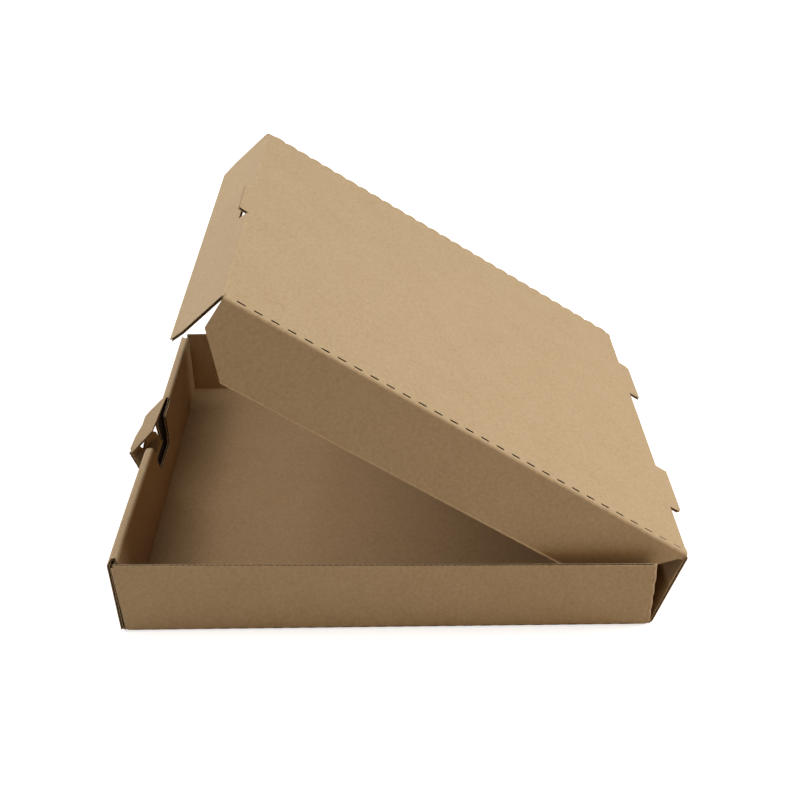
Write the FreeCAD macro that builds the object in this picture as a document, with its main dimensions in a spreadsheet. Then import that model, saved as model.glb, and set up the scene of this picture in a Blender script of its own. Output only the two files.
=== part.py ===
"""A kraft board pizza box with its lid half open.

The box is folded from one sheet of thin corrugated board. The tray has leaning
side walls, a front wall that rolls over to the inside, and tucked ears. The rear
wall leans back and carries the lid, whose front and side flaps hang from it.

Millimetres. X runs left to right, Y runs from the front to the hinge at the rear,
and Z runs up. The origin is the centre of the tray's underside.
"""
import FreeCAD, Part
import os

import Sketcher
from FreeCAD import Vector

# Driving dimensions: name, value, meaning
SIZES = [
    ("board", 1.7, "thickness of the corrugated board"),
    ("play", 0.35, "clearance at a fold that moves"),
    ("fold_ease", 0.02, "ridge of a fold under the board's faces"),
    ("bend", 0.2, "inside radius of the side flaps' folds"),
    ("box_width", 310.6, "tray over its side folds"),
    ("box_depth", 308.4, "tray from the front face to the rear fold"),
    ("wall_height", 47.0, "front and side walls, measured along them"),
    ("front_lean", 2.4, "front wall from upright, degrees"),
    ("side_lean_front", 2.7, "side walls from upright at the front, degrees"),
    ("side_lean_rear", 9.2, "side walls from upright at the rear, degrees"),
    ("roll_width", 5.6, "top strip of the rolled front wall"),
    ("roll_inset", 2.6, "rolled panel's ends from the outer ends"),
    ("front_ear", 55.0, "length of an ear tucked in the front wall"),
    ("ear_drop", 3.0, "ears below the top of their wall"),
    ("ear_gap", 0.35, "gap between an ear and the wall outside it"),
    ("rear_ear", 40.0, "length of an ear folded in at the rear"),
    ("rear_ear_rise", 29.0, "height of a rear ear at its free end"),
    ("rear_ear_slope", 9.0, "length of the slope at a rear ear's fold"),
    ("lock_centre", -3.6, "middle of the lock from the box's middle"),
    ("rear_width", 306.0, "rear wall's width"),
    ("rear_height", 47.9, "rear wall between its two folds"),
    ("rear_lean", 21.2, "rear wall from upright, degrees"),
    ("lid_width", 304.0, "lid over its side folds"),
    ("lid_length", 298.6, "lid between its rear and front folds"),
    ("lid_tilt", 32.3, "lid from level, degrees"),
    ("tab_place", 75.6, "middle of a hinge tab from the box's middle"),
    ("tab_length", 49.0, "hinge tab along the fold"),
    ("tab_reach", 8.0, "hinge tab past the fold"),
    ("lock_tab_root", 54.0, "lid's lock tab at the front fold"),
    ("lock_tab_tip", 43.0, "lid's lock tab at its end"),
    ("lock_tab_reach", 5.8, "lid's lock tab past the front fold"),
    ("front_flap_depth", 41.3, "front flap from its fold"),
    ("front_flap_angle", 73.5, "front flap turned down from the lid, degrees"),
    ("front_flap_knee", 31.0, "depth where a front flap's end turns in"),
    ("front_flap_knee_inset", 3.9, "front flap's end further in at the knee"),
    ("front_flap_tip_inset", 9.6, "front flap's end further in at its edge"),
    ("side_flap_depth", 42.3, "side flap from its fold"),
    ("side_flap_heel", 1.3, "side flap's start from the lid's rear fold"),
    ("side_flap_heel_run", 12.0, "where the heel's slope changes, along the fold"),
    ("side_flap_heel_drop", 15.0, "where the heel's slope changes, in depth"),
    ("side_flap_heel_end", 36.0, "where the heel's slope ends, along the fold"),
    ("side_flap_toe_drop", 18.5, "depth of the square part of the front end"),
    ("side_flap_toe_run", 19.5, "length of the sloped part of the front end"),
]

# The lock's outlines, as X from its middle and height from the wall's top edge
WINDOW = [(25.9, 1.0), (17.0, -19.0), (13.4, -23.7), (-23.7, -24.0), (-28.1, -21.5), (-21.1, 1.0)]
OPENING = [(-26.1, -8.5), (-22.5, -20.0), (36.9, -18.5)]
SLIT = [(20.3, -1.3), (13.0, -2.0), (17.0, -5.5)]

# X of the opening's two ends under the top strip, from the lock's middle
OPENING_ENDS = (-42.0, 31.0)

# The apron's foot on the front wall, as X from the lock's middle and height
FOOT_FAR = (-22.5, -21.0)
FOOT_NEAR = (36.9, -19.5)

# The bent lock tongue's corners: X from the lock's middle, distance inside the
# front face (negative is outside) and height from the wall's top edge
CREASE_FAR = (3.9, 0.7, 0.8)
CREASE_NEAR = (30.9, -8.5, 0.0)
LEAF_RIM = [(24.9, -10.4, 0.0), (8.3, -9.6, 0.0), (-7.1, -7.6, 0.0), (-19.1, -7.6, 0.0),
            (-26.1, -5.8, 0.0), (-44.1, 0.1, 0.0), (-47.1, 2.9, 0.4)]
APRON_SIDE = (-8.1, 0.7, -6.1)


# Formulas that several panels share: half the lid's top, and the gap at a fold
LID_HALF = "(Sizes.lid_width / 2 - Sizes.board - Sizes.bend - Sizes.play)"
FOLD_GAP = "(Sizes.board / 2 + Sizes.play)"


def make_sheet(doc):
    """Write the driving dimensions into the document's spreadsheet."""
    sheet = doc.addObject("Spreadsheet::Sheet", "Sizes")
    for row, (alias, value, meaning) in enumerate(SIZES, start=1):
        sheet.set(f"A{row}", meaning)
        sheet.set(f"B{row}", str(value))
        sheet.setAlias(f"B{row}", alias)
    doc.recompute()
    return sheet


def size(doc, formula):
    """The present value of a formula over the sheet's cells."""
    return float(doc.Sizes.evalExpression(formula))


def bind(item, **formulas):
    """Bind properties of an object to formulas over the sheet's cells."""
    for name, formula in formulas.items():
        item.setExpression(name, formula)


def place(item, x="0", y="0", z="0", axis="1; 0; 0", turn="0", carrier=None):
    """Bind an object's placement, on the placement of its carrier if it has one."""
    spot = f"placement(vector({x}; {y}; {z}); rotation(vector({axis}); {turn}))"
    if carrier:
        spot = f"{carrier.Name}.Placement * {spot}"
    item.setExpression("Placement", spot)


def outline(doc, sketch, corners):
    """Draw a closed outline whose corners follow pairs of formulas."""
    spots = [Vector(size(doc, x), size(doc, y), 0) for x, y in corners]
    count = len(corners)
    for i in range(count):
        sketch.addGeometry(Part.LineSegment(spots[i], spots[(i + 1) % count]))
    for i, (x, y) in enumerate(corners):
        sketch.addConstraint(Sketcher.Constraint("Coincident", i, 2, (i + 1) % count, 1))
        across = sketch.addConstraint(Sketcher.Constraint("DistanceX", -1, 1, i, 1, spots[i].x))
        sketch.setExpression(f"Constraints[{across}]", x)
        along = sketch.addConstraint(Sketcher.Constraint("DistanceY", -1, 1, i, 1, spots[i].y))
        sketch.setExpression(f"Constraints[{along}]", y)


def plane_sketch(body, name):
    """A sketch on the body's own XY plane."""
    sketch = body.newObject("Sketcher::SketchObject", name)
    plane = next(item for item in body.Origin.OriginFeatures if item.Role == "XY_Plane")
    sketch.AttachmentSupport = [(plane, "")]
    sketch.MapMode = "FlatFace"
    return sketch


def panel(doc, name, corners, window=None):
    """A flat panel of board about its own middle plane, with a window if given."""
    body = doc.addObject("PartDesign::Body", name)
    sketch = plane_sketch(body, f"{name}_outline")
    outline(doc, sketch, corners)
    pad = body.newObject("PartDesign::Pad", f"{name}_pad")
    pad.Profile = sketch
    pad.SideType = "Symmetric"
    bind(pad, Length="Sizes.board")
    if window:
        opening = plane_sketch(body, f"{name}_window")
        outline(doc, opening, window)
        pocket = body.newObject("PartDesign::Pocket", f"{name}_pocket")
        pocket.Profile = opening
        pocket.Type = "ThroughAll"
        pocket.SideType = "Symmetric"
    return body


def fold(doc, name, length, turn, x="0", y="0", z="0"):
    """The rounded ridge of a fold: a thin rod, a hair slimmer than the board."""
    axis = {"x": "0; 1; 0", "y": "1; 0; 0"}[turn]
    angle = {"x": "90", "y": "-90"}[turn]
    rod = doc.addObject("Part::Cylinder", name)
    bind(rod, Radius="Sizes.board / 2 - Sizes.fold_ease", Height=length)
    place(rod, x, y, z, axis, angle)
    return rod


def block(doc, name, length, width, height, x, y, z):
    """A box whose sizes and corner follow formulas."""
    box = doc.addObject("Part::Box", name)
    bind(box, Length=length, Width=width, Height=height)
    place(box, x, y, z)
    return box


def join(doc, name, items, label=None):
    """Fuse touching pieces of one sheet into one solid."""
    fused = doc.addObject("Part::MultiFuse", name)
    fused.Shapes = items
    fused.Refine = True
    fused.Label = label or name
    return fused


def mirrored(corners):
    """Corners on the right, given from the bottom up, with their mirror images."""
    return corners + [(f"-({x})", y) for x, y in reversed(corners)]


def cutter(doc, name, points, near, far):
    """A prism across the front wall, from outline points of the lock."""
    centre, top = size(doc, "Sizes.lock_centre"), size(doc, "Sizes.wall_height")
    corners = [Vector(centre + x, near, top + z) for x, z in points]
    face = Part.Face(Part.makePolygon(corners + corners[:1]))
    prism = doc.addObject("Part::Feature", name)
    prism.Shape = face.extrude(Vector(0, far - near, 0))
    return prism


def bent_board(doc, name, hub, rim, shift):
    """A crumpled piece of board: triangles round one corner, thickened by a shift."""
    origin = Vector(size(doc, "Sizes.lock_centre"), 0, size(doc, "Sizes.wall_height"))
    hub, rim = origin + Vector(*hub), [origin + Vector(*point) for point in rim]
    loop = [hub] + rim
    triangles = [(hub, a, b) for a, b in zip(rim, rim[1:])]
    triangles += [tuple(corner + shift for corner in triangle) for triangle in triangles]
    for a, b in zip(loop, loop[1:] + loop[:1]):
        triangles += [(a, b, b + shift), (a, b + shift, a + shift)]
    faces = [Part.Face(Part.makePolygon([a, b, c, a])) for a, b, c in triangles]
    solid = Part.makeSolid(Part.makeShell(faces))
    solid.fix(1e-6, 1e-6, 1e-6)
    if solid.Volume < 0:
        solid.reverse()
    board = doc.addObject("Part::Feature", name)
    board.Shape = solid
    return board


def front_wall(doc):
    """The rolled front wall with its tucked ears, lock window and bent tongue."""
    board = size(doc, "Sizes.board")
    roll = size(doc, "Sizes.roll_width")
    half, rolled = "Sizes.box_width / 2", "(Sizes.box_width / 2 - Sizes.roll_inset)"
    middle, top = "Sizes.board / 2", "Sizes.wall_height - Sizes.board / 2"
    inner = "Sizes.roll_width - Sizes.board / 2"
    outer = [
        block(doc, "front_outer", "Sizes.box_width", "Sizes.board", f"{top} - {middle}",
              f"-{half}", "0", middle),
        fold(doc, "front_foot", "Sizes.box_width", "x", f"-{half}", middle, middle),
        fold(doc, "front_crest", "Sizes.box_width", "x", f"-{half}", middle, top),
        block(doc, "front_strip", f"2 * {rolled}", f"{inner} - {middle}", "Sizes.board",
              f"-{rolled}", middle, "Sizes.wall_height - Sizes.board"),
        fold(doc, "front_inner_crest", f"2 * {rolled}", "x", f"-{rolled}", inner, top),
        block(doc, "front_inner", f"2 * {rolled}", "Sizes.board", f"{top} - {middle}",
              f"-{rolled}", "Sizes.roll_width - Sizes.board", middle),
    ]
    ear_height = "Sizes.wall_height - Sizes.board - Sizes.ear_drop"
    ear_start = "Sizes.box_width / 2 - Sizes.board / 2"
    ears = [
        block(doc, f"front_ear_{side}", "Sizes.front_ear", "Sizes.board", ear_height,
              x, "Sizes.board + Sizes.ear_gap", middle)
        for side, x in (("right", f"{ear_start} - Sizes.front_ear"), ("left", f"-({ear_start})"))
    ]
    wall = join(doc, "front_rolled", outer + ears)
    play = size(doc, "Sizes.play")
    (near, above), (far, _) = WINDOW[0], WINDOW[-1]
    strip_gap = [(far, -board), (near, -board), (near, above), (far, above)]
    opening = [(OPENING_ENDS[0], -board)] + OPENING + [(OPENING_ENDS[1], -board)]
    holes = join(doc, "lock_holes", [
        cutter(doc, "lock_window", WINDOW, roll - board - play, roll + board),
        cutter(doc, "lock_strip_gap", strip_gap, -board, roll + board),
        cutter(doc, "lock_opening", opening, -board, board + play / 2),
    ])
    cut = doc.addObject("Part::Cut", "front_cut")
    cut.Base, cut.Tool = wall, holes
    leaf = bent_board(doc, "tongue_leaf", CREASE_FAR, [CREASE_NEAR] + LEAF_RIM, Vector(0, 0, -board))
    foot_far, foot_near = [(x, board, z) for x, z in (FOOT_FAR, FOOT_NEAR)]
    rim = [foot_near, CREASE_NEAR, CREASE_FAR, APRON_SIDE]
    apron = bent_board(doc, "tongue_apron", foot_far, rim, Vector(0, -board, 0))
    slit = doc.addObject("Part::Cut", "tongue_slit")
    slit.Base = apron
    slit.Tool = cutter(doc, "tongue_slit_prism", SLIT, 2 * CREASE_NEAR[1], roll)
    group = join(doc, "front_wall", [cut, leaf, slit])
    place(group, y="-Sizes.box_depth / 2", turn="Sizes.front_lean")
    return group


def side_wall(doc, name, sign):
    """A side wall that leans out, more at the rear than at the front."""
    ends = []
    foot = "(Sizes.box_width / 2 - Sizes.board / 2)"
    rise = "(Sizes.wall_height - Sizes.board / 2)"
    front = "-Sizes.box_depth / 2 + Sizes.board + Sizes.ear_gap"
    rear = "Sizes.box_depth / 2 - Sizes.board - Sizes.ear_gap"
    leans = (("front", "Sizes.side_lean_front", front), ("rear", "Sizes.side_lean_rear", rear))
    for end, lean, y in leans:
        skin = f"Sizes.board / 2 * cos({lean})"
        dip = f"Sizes.board / 2 * sin({lean})"
        low, high = "Sizes.board / 2", f"Sizes.board / 2 + {rise} * cos({lean})"
        out = f"{rise} * sin({lean})"
        corners = [
            (f"{sign} * ({foot} - {skin})", f"{low} + {dip}"),
            (f"{sign} * ({foot} + {skin})", f"{low} - {dip}"),
            (f"{sign} * ({foot} + {skin} + {out})", f"{high} - {dip}"),
            (f"{sign} * ({foot} - {skin} + {out})", f"{high} + {dip}"),
        ]
        sketch = doc.addObject("Sketcher::SketchObject", f"{name}_{end}")
        place(sketch, y=y, turn="90")
        outline(doc, sketch, corners)
        ends.append(sketch)
    wall = doc.addObject("Part::Loft", name)
    wall.Sections = ends
    wall.Solid = True
    wall.Ruled = True
    return wall


def rear_ear(doc, name, sign):
    """An ear folded in from the rear end of a side wall, sloped at its fold."""
    foot = "Sizes.box_width / 2 - Sizes.board / 2"
    crest = "(Sizes.wall_height - Sizes.ear_drop)"
    lean = "Sizes.side_lean_rear"
    tip = f"{foot} - Sizes.rear_ear"
    corners = [
        (f"{sign} * ({tip})", "Sizes.board + Sizes.ear_drop"),
        (f"{sign} * ({foot})", "Sizes.board / 2"),
        (f"{sign} * ({foot} + {crest} * sin({lean}))", f"{crest} * cos({lean})"),
        (f"{sign} * ({foot} + {crest} * sin({lean}) - Sizes.rear_ear_slope)", "Sizes.rear_ear_rise"),
        (f"{sign} * ({tip})", "Sizes.rear_ear_rise"),
    ]
    ear = panel(doc, name, corners)
    place(ear, y="Sizes.box_depth / 2 - 1.5 * Sizes.board - Sizes.ear_gap", turn="90")
    return ear


def tray(doc):
    """Base, side walls, ears and front wall, folded from one piece."""
    half = "(Sizes.box_width / 2 - Sizes.board / 2)"
    front = "-Sizes.box_depth / 2 + Sizes.board / 2"
    run = "Sizes.box_depth - 1.5 * Sizes.board - Sizes.play"
    base = block(doc, "base", f"2 * {half}", run, "Sizes.board", f"-{half}", front, "0")
    pieces = [front_wall(doc), base]
    for side, sign in (("right", "1"), ("left", "-1")):
        pieces.append(fold(doc, f"side_fold_{side}", run, "y", f"{sign} * {half}", front,
                           "Sizes.board / 2"))
        pieces.append(side_wall(doc, f"side_wall_{side}", sign))
        pieces.append(rear_ear(doc, f"rear_ear_{side}", sign))
    return join(doc, "tray", pieces)


def rear_wall(doc):
    """The rear wall, notched where the lid's two hinge tabs are cut from it."""
    half = "Sizes.rear_width / 2"
    top = "Sizes.rear_height - Sizes.board / 2 - Sizes.play"
    notch = "Sizes.rear_height - Sizes.tab_reach - Sizes.play"
    near = "Sizes.tab_place - Sizes.tab_length / 2 - Sizes.play"
    far = "Sizes.tab_place + Sizes.tab_length / 2 + Sizes.play"
    corners = mirrored([(half, "0"), (half, top), (far, top), (far, notch), (near, notch), (near, top)])
    wall = panel(doc, "rear_panel", corners)
    ridge = fold(doc, "rear_fold", "Sizes.rear_width", "x", f"-{half}")
    group = join(doc, "rear_wall", [wall, ridge])
    place(group, y="Sizes.box_depth / 2 - Sizes.board / 2", z="Sizes.board / 2",
          turn="90 - Sizes.rear_lean")
    return group


def lid(doc):
    """The lid's top, with two hinge tabs at the rear and the lock tab at the front."""
    front = f"Sizes.lid_length - {FOLD_GAP}"
    near = "Sizes.tab_place - Sizes.tab_length / 2"
    far = "Sizes.tab_place + Sizes.tab_length / 2"
    right = [(near, "0"), (near, "-Sizes.tab_reach"), (far, "-Sizes.tab_reach"), (far, "0"),
             (LID_HALF, "0"), (LID_HALF, front)]
    left = [(f"-{x}" if x == LID_HALF else f"-({x})", y) for x, y in reversed(right)]
    tip = "Sizes.lid_length + Sizes.lock_tab_reach"
    lock = [
        ("Sizes.lock_centre + Sizes.lock_tab_root / 2", front),
        ("Sizes.lock_centre + Sizes.lock_tab_tip / 2", tip),
        ("Sizes.lock_centre - Sizes.lock_tab_tip / 2", tip),
        ("Sizes.lock_centre - Sizes.lock_tab_root / 2", front),
    ]
    top = panel(doc, "lid_panel", right + lock + left)
    ridge = fold(doc, "lid_fold", f"2 * {LID_HALF}", "x", f"-{LID_HALF}")
    group = join(doc, "lid", [top, ridge])
    reach = "Sizes.rear_height"
    place(group, y=f"Sizes.box_depth / 2 - Sizes.board / 2 + {reach} * sin(Sizes.rear_lean)",
          z=f"Sizes.board / 2 + {reach} * cos(Sizes.rear_lean)", turn="180 - Sizes.lid_tilt")
    return group


def front_flap(doc, carrier):
    """The lid's front flap, with a window below the lock tab."""
    knee = f"{LID_HALF} - Sizes.front_flap_knee_inset"
    tip = f"{LID_HALF} - Sizes.front_flap_tip_inset"
    corners = mirrored([
        (LID_HALF, "0"), (knee, "Sizes.front_flap_knee"), (tip, "Sizes.front_flap_depth"),
    ])
    root = "(Sizes.lock_tab_root / 2 + Sizes.play)"
    slope = "(Sizes.lock_tab_root - Sizes.lock_tab_tip) / 2"
    low = "Sizes.lock_tab_reach + Sizes.play"
    window = [
        (f"Sizes.lock_centre + {root}", "-Sizes.board"),
        (f"Sizes.lock_centre + {root}", "0"),
        (f"Sizes.lock_centre + {root} - {slope}", low),
        (f"Sizes.lock_centre - {root} + {slope}", low),
        (f"Sizes.lock_centre - {root}", "0"),
        (f"Sizes.lock_centre - {root}", "-Sizes.board"),
    ]
    flap = panel(doc, "front_flap_panel", corners, window)
    ridges = [
        fold(doc, "front_flap_fold_right", f"{LID_HALF} - Sizes.lock_centre - {root}", "x",
             f"Sizes.lock_centre + {root}"),
        fold(doc, "front_flap_fold_left", f"{LID_HALF} + Sizes.lock_centre - {root}", "x", f"-{LID_HALF}"),
    ]
    group = join(doc, "front_flap", [flap] + ridges)
    place(group, y="Sizes.lid_length", turn="Sizes.front_flap_angle", carrier=carrier)
    return group


def side_flap(doc, side, sign, carrier):
    """A side flap of the lid, sloped at both ends, drawn along its fold.

    Its fold is a quarter round about an axis on the inside, so the flap can turn in
    until it lies under the lid.
    """
    front = f"Sizes.lid_length - {FOLD_GAP}"
    heel = "Sizes.side_flap_heel"
    axis = "(Sizes.board / 2 + Sizes.bend)"
    corners = [
        (heel, axis),
        (front, axis),
        (front, "Sizes.side_flap_toe_drop"),
        (f"{front} - Sizes.side_flap_toe_run", "Sizes.side_flap_depth"),
        ("Sizes.side_flap_heel_end", "Sizes.side_flap_depth"),
        ("Sizes.side_flap_heel_run", "Sizes.side_flap_heel_drop"),
    ]
    flap = panel(doc, f"side_flap_panel_{side}", corners)
    ridge = doc.addObject("Part::Cylinder", f"side_flap_fold_{side}")
    bind(ridge, Radius="Sizes.board + Sizes.bend - Sizes.fold_ease", Height=f"{front} - {heel}")
    ridge.Angle = 90
    quarter = {"1": "180", "-1": "270"}[sign]
    ridge.setExpression("Placement", (
        f"placement(vector({heel}; {axis}; -{sign} * {axis}); rotation(vector(0; 1; 0); 90))"
        f" * placement(vector(0; 0; 0); rotation(vector(0; 0; 1); {quarter}))"))
    group = join(doc, f"side_flap_{side}", [flap, ridge])
    place(group, x=f"{sign} * (Sizes.lid_width - Sizes.board) / 2", axis="1; 1; 1", turn="120",
          carrier=carrier)
    return group


def check(doc, parts):
    """Stop if any object failed or any sub-part isn't one good solid."""
    for item in doc.Objects:
        if "Invalid" in item.State or "Error" in item.State:
            raise RuntimeError(f"{item.Name} failed: {item.State}")
    for part in parts:
        if part.Shape.isNull() or not part.Shape.isValid() or len(part.Shape.Solids) != 1:
            raise RuntimeError(f"{part.Label} is not one good solid")


def main():
    doc = FreeCAD.newDocument("pizza_box")
    make_sheet(doc)
    top = lid(doc)
    parts = [tray(doc), rear_wall(doc), top, front_flap(doc, top)]
    parts += [side_flap(doc, "right", "1", top), side_flap(doc, "left", "-1", top)]
    doc.recompute()
    check(doc, parts)
    os.makedirs("parts", exist_ok=True)
    for part in parts:
        part.Shape.exportStep(f"parts/{part.Label}.step")
        print(part.Label, round(part.Shape.Volume), part.Shape.BoundBox)


main()
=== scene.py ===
# %% [markdown]
# # A kraft board pizza box, lid half open
# The real box is one die-cut sheet of thin corrugated board, folded up by hand. This
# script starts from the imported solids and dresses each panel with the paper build-up
# that board has: two flat liners with a wavy sheet of paper, the fluting, between them.

# %% Load the fixed frame
import math
import bpy
import numpy as np
from mathutils import Matrix, Vector
from mathutils.geometry import delaunay_2d_cdt


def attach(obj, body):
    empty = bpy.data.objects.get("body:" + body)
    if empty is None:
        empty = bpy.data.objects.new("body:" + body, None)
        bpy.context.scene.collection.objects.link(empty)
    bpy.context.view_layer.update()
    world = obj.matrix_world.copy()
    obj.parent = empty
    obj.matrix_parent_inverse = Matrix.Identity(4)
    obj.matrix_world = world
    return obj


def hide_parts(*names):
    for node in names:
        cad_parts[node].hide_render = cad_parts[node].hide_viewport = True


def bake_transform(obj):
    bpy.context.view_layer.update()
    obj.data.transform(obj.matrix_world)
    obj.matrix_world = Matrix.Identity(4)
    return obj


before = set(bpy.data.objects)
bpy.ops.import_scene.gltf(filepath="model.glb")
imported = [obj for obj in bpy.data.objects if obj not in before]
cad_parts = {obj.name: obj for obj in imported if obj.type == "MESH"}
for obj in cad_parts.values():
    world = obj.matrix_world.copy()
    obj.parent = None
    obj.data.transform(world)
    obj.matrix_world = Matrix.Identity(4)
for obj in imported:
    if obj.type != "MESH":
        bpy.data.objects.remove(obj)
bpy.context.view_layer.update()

# %% [markdown]
# ## Camera
# A picture is matched first by its camera. This one was solved from the box's corners:
# a long lens, 27 degrees above the horizon, facing the right side wall.

# %% Camera
CAMERA_PLACE = (0.7990, 0.0028, 0.4796)
PITCH, YAW, ROLL = (math.radians(v) for v in (27.206, 0.483, -0.415))
LENS = 61.383


def make_camera():
    """Aim along a heading and a pitch, then roll about the line of sight."""
    ahead = Vector((-math.cos(YAW) * math.cos(PITCH), math.sin(YAW) * math.cos(PITCH), -math.sin(PITCH)))
    right = Vector((math.sin(YAW), math.cos(YAW), 0))
    up = right.cross(ahead)
    across = math.cos(ROLL) * right + math.sin(ROLL) * up
    upward = math.cos(ROLL) * up - math.sin(ROLL) * right
    data = bpy.data.cameras.new("camera")
    data.lens, data.sensor_width, data.sensor_fit = LENS, 36, "HORIZONTAL"
    data.clip_start, data.clip_end = 0.01, 50
    camera = bpy.data.objects.new("camera", data)
    turn = Matrix((across, upward, -ahead)).transposed().to_4x4()
    camera.matrix_world = Matrix.Translation(CAMERA_PLACE) @ turn
    bpy.context.scene.collection.objects.link(camera)
    bpy.context.scene.camera = camera


make_camera()
bpy.context.scene.view_settings.view_transform = "Standard"

# %% [markdown]
# ## Board
# Thin corrugated board is about 1.7 mm thick, with roughly three flutes to a centimetre.
# All sizes below are in millimetres, as on a drawing, and become metres in the mesh.

# %% Sizes of the board and the box
BOARD, LINER, MEDIUM, FLUTE = 1.7, 0.30, 0.20, 3.3
HALF = BOARD / 2
BEND = 0.2                      # inside radius of a fold
MIDDLE = BEND + HALF            # radius of a fold at the board's middle
PLAY = 0.35                     # gap between a tab and its window
GRID = 12                       # spacing of the lattice on a flat panel

WIDTH, DEPTH, HEIGHT = 310.6, 308.4, 47.0
FRONT_LEAN, SIDE_LEAN_FRONT, SIDE_LEAN_REAR = 2.4, 2.7, 9.2
ROLL_WIDTH, ROLL_INSET, EAR_GAP = 5.6, 2.6, 0.35
REAR_HALF, REAR_HEIGHT, REAR_LEAN = 153.0, 47.9, 21.2
LID_WIDTH, LID_LENGTH, LID_TILT = 304.0, 298.6, 32.3
FLAP_ANGLE = 73.5
LOCK = -3.6


def turned(degrees):
    """Unit vector in the YZ plane, turned from +Y towards +Z."""
    return np.array((0.0, math.cos(math.radians(degrees)), math.sin(math.radians(degrees))))


ACROSS = np.array((1.0, 0.0, 0.0))
UPWARD = np.array((0.0, 0.0, 1.0))
REAR_FOOT = np.array((0.0, DEPTH / 2 - HALF, HALF))
REAR_UP = turned(90 - REAR_LEAN)
REAR_OUT = turned(-REAR_LEAN)
HINGE = REAR_FOOT + REAR_HEIGHT * REAR_UP
LID_RUN = turned(180 - LID_TILT)
LID_OUT = turned(90 - LID_TILT)
LID_FRONT = HINGE + LID_LENGTH * LID_RUN
FLAP_RUN = turned(180 - LID_TILT + FLAP_ANGLE)
FLAP_OUT = turned(90 - LID_TILT + FLAP_ANGLE)
SIDE_FOLD = (LID_WIDTH - BOARD) / 2
print("hinge at", np.round(HINGE, 2), "front fold at", np.round(LID_FRONT, 2))

# %% [markdown]
# ## Cutting a sheet
# A die cuts outlines and windows in one stroke. Here the outlines are closed loops in
# the sheet's own two coordinates, a lattice fills them, and of the triangles between
# all these points an even-odd test keeps what is inside. The flat sheet can then be
# carried to any curved place in one array operation.

# %% Outlines to triangles
# the fourth slot is painted shade for slits and hollows, and the fifth is the liner darker, painted shade for
# the box's inside faces
OUTER, EDGE, WAVES, PAINTED_SHADE, INSIDE_SHADE = range(5)      # material slots, in the order of PAPERS
MERGE = 0.02        # points closer than this on an outline become one
CLEAR = 0.08        # a lattice point nearer than this to an outline is left out
SPECK = 1e-9        # twice the area of a triangle that is left out


def cross(u, v):
    """The area that two flat vectors span, positive where v is to the left of u."""
    return u[..., 0] * v[..., 1] - u[..., 1] * v[..., 0]


def crossings(b, loops):
    """Whether the row at each b crosses each edge of the loops, and where along the row."""
    (a0, b0), (a1, b1) = np.concatenate(loops).T, np.concatenate([np.roll(r, -1, 0) for r in loops]).T
    return (b0 > b) != (b1 > b), a0 + (b - b0) * (a1 - a0) / np.where(b1 == b0, 1, b1 - b0)


def inside(points, loops):
    """True where a ray from a point along the first axis crosses an odd number of edges."""
    spans, crossing = crossings(points[:, 1:], loops)
    return (spans & (points[:, :1] < crossing)).sum(1) % 2 == 1


def refine(loop, columns, rows):
    """Points added to a loop wherever it crosses the lattice's columns and rows."""
    loop, pieces = np.array(loop, float), []
    for p, q in zip(loop, np.roll(loop, -1, 0)):
        shares = [np.zeros(1)]
        for axis, lines in ((0, columns), (1, rows)):
            if abs(q[axis] - p[axis]) > 1e-6:
                shares.append((np.asarray(lines) - p[axis]) / (q[axis] - p[axis]))
        t = np.hstack(shares)
        gap = MERGE / max(np.linalg.norm(q - p), 0.05)
        t = np.unique(np.round(t[(t >= 0) & (t < 1 - gap)] / gap).astype(int)) * gap
        pieces.append(p + t[:, None] * (q - p))
    return np.concatenate(pieces)


def cut(loops, columns, rows, stretch=1.0):
    """Flat points and triangles inside the loops, in the sheet's own coordinates.

    stretch widens the second axis while triangles are chosen, so that close rows
    round a small arc are joined along the row and not across several of them.
    """
    loops = [refine(loop, columns, rows) for loop in loops]
    rim = np.concatenate(loops)
    lattice = np.stack(np.meshgrid(columns, rows), -1).reshape(-1, 2)
    lattice = lattice[inside(lattice, loops)]
    near = np.abs(lattice[:, None] - rim[None]).max(2).min(1) if len(lattice) else np.zeros(0)
    points = np.concatenate([rim, lattice[near > CLEAR]])
    starts = np.cumsum([0] + [len(loop) for loop in loops])
    edges = [(s + i, s + (i + 1) % len(r)) for s, r in zip(starts, loops) for i in range(len(r))]
    scale = np.array((1.0, stretch))
    flat, _, faces, *_ = delaunay_2d_cdt([Vector(p) for p in points * scale], edges, [], 0, 1e-5)
    flat, faces = np.array(flat) / scale, np.array(faces)
    faces = faces[inside(flat[faces].mean(1), loops)]
    p, q, r = np.moveaxis(flat[faces], 1, 0)
    turn = cross(q - p, r - p)
    faces, turn = faces[np.abs(turn) > SPECK], turn[np.abs(turn) > SPECK]
    faces[turn < 0] = faces[turn < 0][:, ::-1]
    return flat, faces


def slab(flat, faces, low, high, place, slots):
    """A sheet between two heights: top, underside, and a side face along each rim edge.

    slots are the materials of the top, the underside and the sides. Each is a number
    or a rule that reads the middles of the triangles or of the rim's edges.
    """
    count = len(flat)
    edges = np.concatenate([faces[:, [0, 1]], faces[:, [1, 2]], faces[:, [2, 0]]])
    rim = edges[~np.isin(edges[:, 0] * count + edges[:, 1], edges[:, 1] * count + edges[:, 0])]
    i, j = rim.T
    sides = np.stack([i + count, j + count, j, i], 1)
    points = np.concatenate([place(flat[:, 0], flat[:, 1], np.full(count, height)) for height in (high, low)])
    uv = np.concatenate([flat, flat]) / 1000
    centres = flat[faces].mean(1)
    chosen = [slot(spots) if callable(slot) else np.full(len(spots), slot)
              for slot, spots in zip(slots, (centres, centres, (flat[i] + flat[j]) / 2))]
    faces = faces.tolist() + (faces[:, ::-1] + count).tolist() + sides.tolist()
    return points, faces, uv, np.concatenate(chosen).tolist()


# %% [markdown]
# ## Fluting
# The wavy middle paper only shows at cut edges, but there it is what makes board look
# like board. Each scan line across the outline gives the waves' two ends, and the wave's
# height is a sine of the distance across the flutes.

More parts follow.
